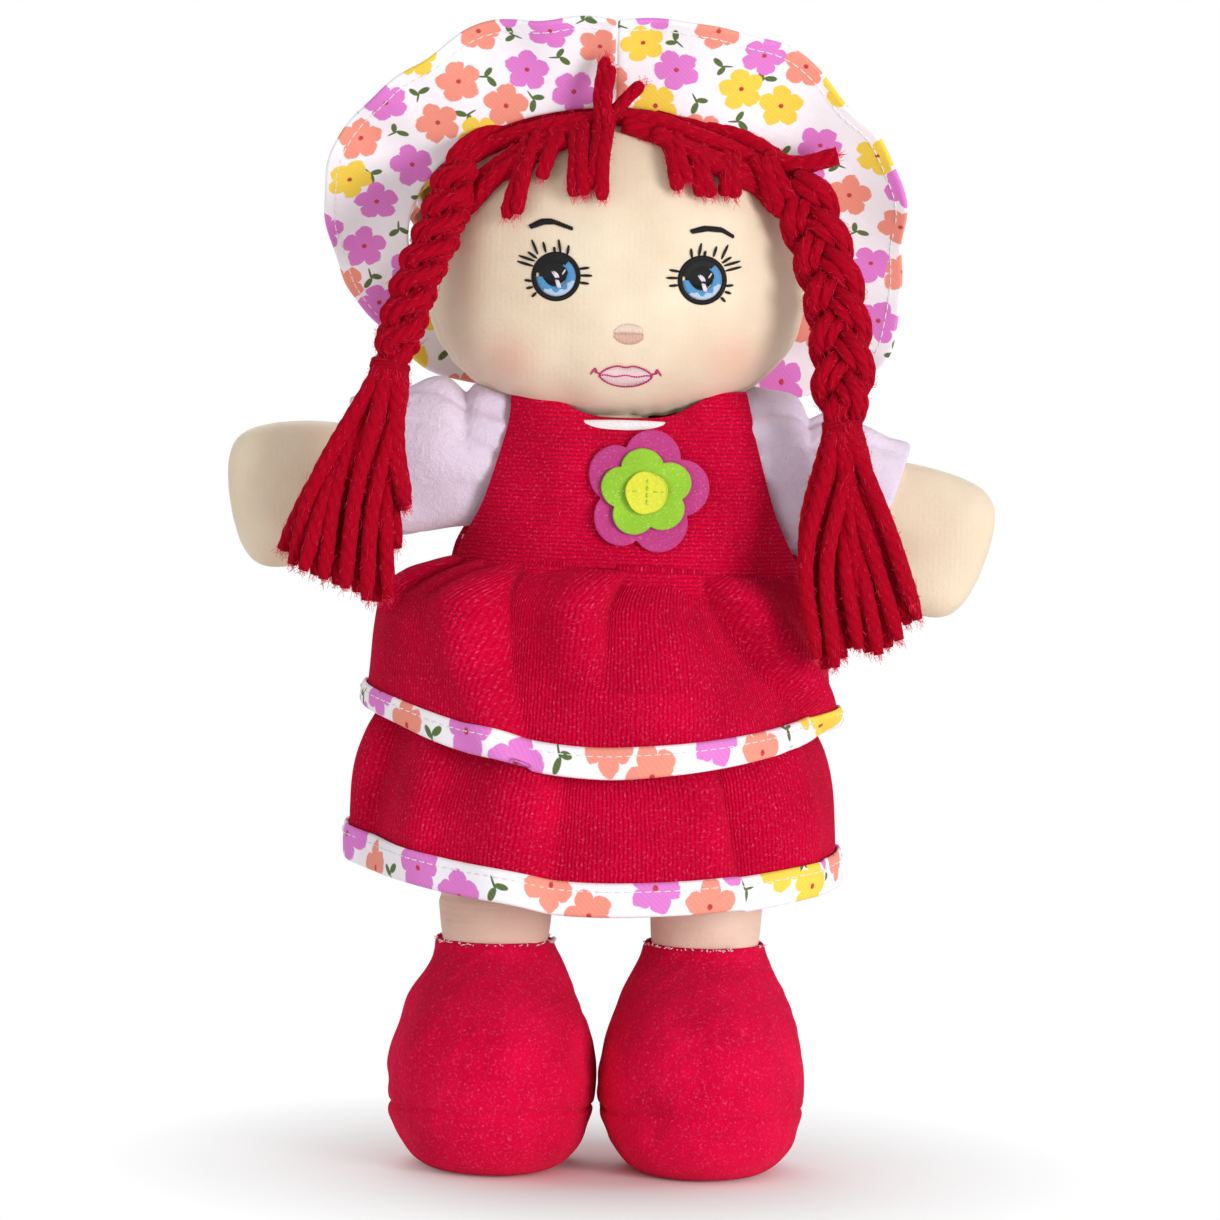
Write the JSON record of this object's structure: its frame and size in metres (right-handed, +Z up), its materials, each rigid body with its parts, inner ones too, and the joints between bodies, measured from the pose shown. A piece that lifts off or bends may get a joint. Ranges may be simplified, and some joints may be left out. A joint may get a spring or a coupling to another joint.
{
  "type": "rag doll",
  "caption": "Sewn, stuffed rag doll that stands on soft shoes, with a wide sun hat, yarn plaits, a knitted bodice and a tiered skirt.",
  "frame": {"origin": "on the floor, under the middle of the doll's outline, between the shoes", "axes": "+Z up, the doll faces -Y, +X towards its own left hand"},
  "size_m": [0.2288, 0.1228, 0.3501],
  "materials": {
    "satin": "cream satin-faced cloth, stuffed tight, slight sheen",
    "skin_cloth": "matt skin-coloured woven cloth",
    "lining": "plain unbleached cotton",
    "fibrefill": "loose polyester fibre stuffing",
    "red_knit": "brushed red jersey knit with light pills",
    "red_fleece": "short-pile red fleece",
    "lilac_fleece": "short-pile lilac-white fleece",
    "red_yarn": "bulky plied red yarn",
    "flower_cotton": "white cotton with small printed flowers",
    "pink_felt": "pink craft felt",
    "green_felt": "green craft felt",
    "yellow_felt": "yellow craft felt"
  },
  "bodies": {
    "torso": {"torso_front": "lining", "torso_back": "lining", "torso_stuffing": "fibrefill", "bodice_front": "red_knit", "bodice_back": "red_knit", "collar": "flower_cotton", "flower_petals": "pink_felt", "flower_ring": "green_felt", "flower_centre": "yellow_felt", "skirt_upper_tier": "red_knit", "upper_tier_binding": "flower_cotton", "skirt_lower_tier": "red_knit", "lower_tier_binding": "flower_cotton"},
    "neck": {"neck": "satin"},
    "head": {"face_panel": "satin", "head_back_panel": "satin", "head_stuffing": "fibrefill", "hat_crown": "flower_cotton", "hat_brim_left": "flower_cotton", "hat_brim_right": "flower_cotton", "fringe_left": "red_yarn", "fringe_right": "red_yarn", "hair_tuft": "red_yarn"},
    "right_leg_body": {"right_leg": "skin_cloth", "right_leg_stuffing": "fibrefill", "right_shoe_upper": "red_fleece", "right_shoe_sole": "red_fleece", "right_shoe_stuffing": "fibrefill"},
    "right_arm_body": {"right_sleeve": "lilac_fleece", "right_arm_stuffing": "fibrefill"},
    "right_hand_body": {"right_hand": "satin", "right_hand_stuffing": "fibrefill"},
    "right_plait_body": {"right_plait_strand_1": "red_yarn", "right_plait_strand_2": "red_yarn", "right_plait_strand_3": "red_yarn", "right_plait_tie": "red_yarn", "right_tassel": "red_yarn"},
    "left_leg_body": {"left_leg": "skin_cloth", "left_leg_stuffing": "fibrefill", "left_shoe_upper": "red_fleece", "left_shoe_sole": "red_fleece", "left_shoe_stuffing": "fibrefill"},
    "left_arm_body": {"left_sleeve": "lilac_fleece", "left_arm_stuffing": "fibrefill"},
    "left_hand_body": {"left_hand": "satin", "left_hand_stuffing": "fibrefill"},
    "left_plait_body": {"left_plait_strand_1": "red_yarn", "left_plait_strand_2": "red_yarn", "left_plait_strand_3": "red_yarn", "left_plait_tie": "red_yarn", "left_tassel": "red_yarn"}
  },
  "joints": [
    {"name": "neck_turn", "type": "hinge", "parent": "torso", "child": "neck", "pos_m": [0, 0, 0.226], "axis": [0, 0, 1], "range_deg": [-8, 8]},
    {"name": "head_nod", "type": "hinge", "parent": "neck", "child": "head", "pos_m": [0, 0, 0.226], "axis": [1, 0, 0], "range_deg": [-9, 4]},
    {"name": "right_hip", "type": "hinge", "parent": "torso", "child": "right_leg_body", "pos_m": [-0.032, 0, 0.127], "axis": [-1, 0, 0], "range_deg": [-25, 25]},
    {"name": "right_shoulder", "type": "hinge", "parent": "torso", "child": "right_arm_body", "pos_m": [-0.036, 0, 0.214], "axis": [0, 1, 0], "range_deg": [-10, 25]},
    {"name": "right_wrist", "type": "hinge", "parent": "right_arm_body", "child": "right_hand_body", "pos_m": [-0.08327, 0, 0.20566], "axis": [0, 1, 0], "range_deg": [-10, 10]},
    {"name": "right_plait_swing", "type": "hinge", "parent": "head", "child": "right_plait_body", "pos_m": [-0.05244, -0.022, 0.29787], "axis": [-1, 0, 0], "range_deg": [-2, 55]},
    {"name": "left_hip", "type": "hinge", "parent": "torso", "child": "left_leg_body", "pos_m": [0.032, 0, 0.127], "axis": [-1, 0, 0], "range_deg": [-25, 25]},
    {"name": "left_shoulder", "type": "hinge", "parent": "torso", "child": "left_arm_body", "pos_m": [0.036, 0, 0.214], "axis": [0, -1, 0], "range_deg": [-7, 25]},
    {"name": "left_wrist", "type": "hinge", "parent": "left_arm_body", "child": "left_hand_body", "pos_m": [0.08138, 0, 0.19837], "axis": [0, -1, 0], "range_deg": [-10, 10]},
    {"name": "left_plait_swing", "type": "hinge", "parent": "head", "child": "left_plait_body", "pos_m": [0.05119, -0.022, 0.29787], "axis": [-1, 0, 0], "range_deg": [-2, 55]}
  ]
}
